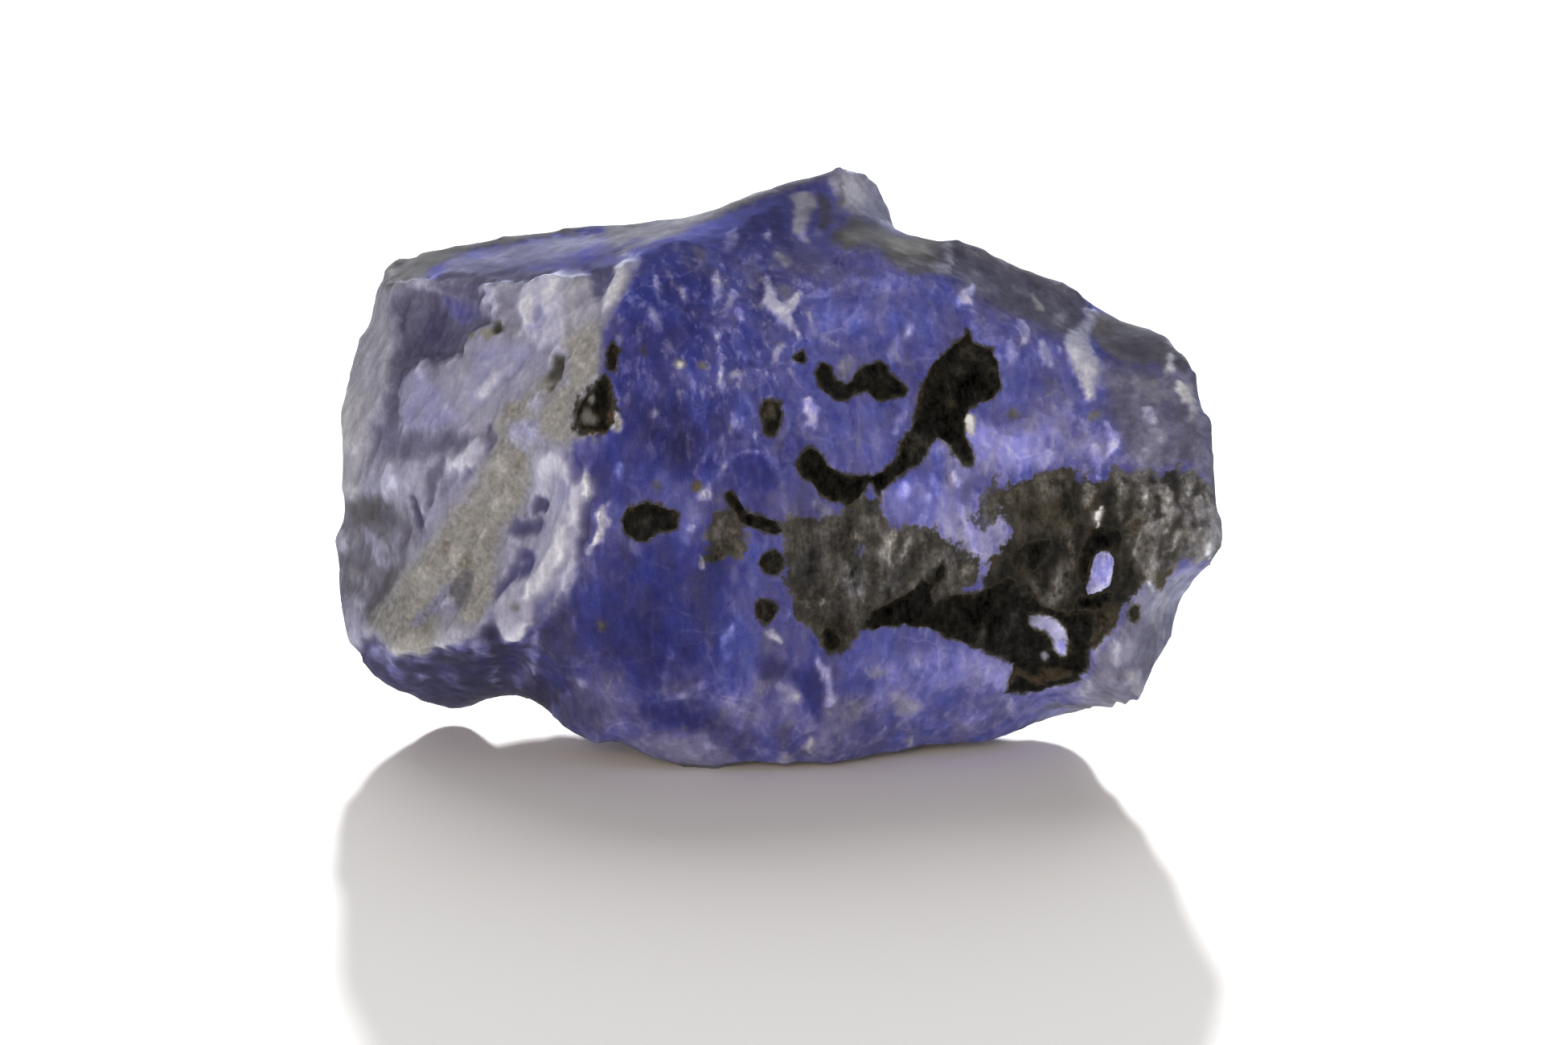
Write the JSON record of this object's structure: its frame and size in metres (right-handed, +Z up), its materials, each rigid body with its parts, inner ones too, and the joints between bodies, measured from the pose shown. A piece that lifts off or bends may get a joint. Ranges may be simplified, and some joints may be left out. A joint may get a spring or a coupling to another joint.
{
  "type": "rough iolite",
  "caption": "Rough iolite: one broken violet crystal fragment with dark mineral inclusions and a pale cleaved face, resting on a small flat spot.",
  "frame": {"origin": "under the middle of the stone's box, on the surface it rests on", "axes": "+X to the right of the front view along the stone's length, +Y away from the viewer, +Z up"},
  "size_m": [0.022, 0.0122, 0.0139],
  "materials": {
    "iolite_violet": "broken crystal, glassy to frosted, see-through violet",
    "dark_inclusion": "brown-black mineral grown into the crystal, slightly glossy"
  },
  "bodies": {
    "root": {"iolite": "iolite_violet"}
  },
  "joints": []
}
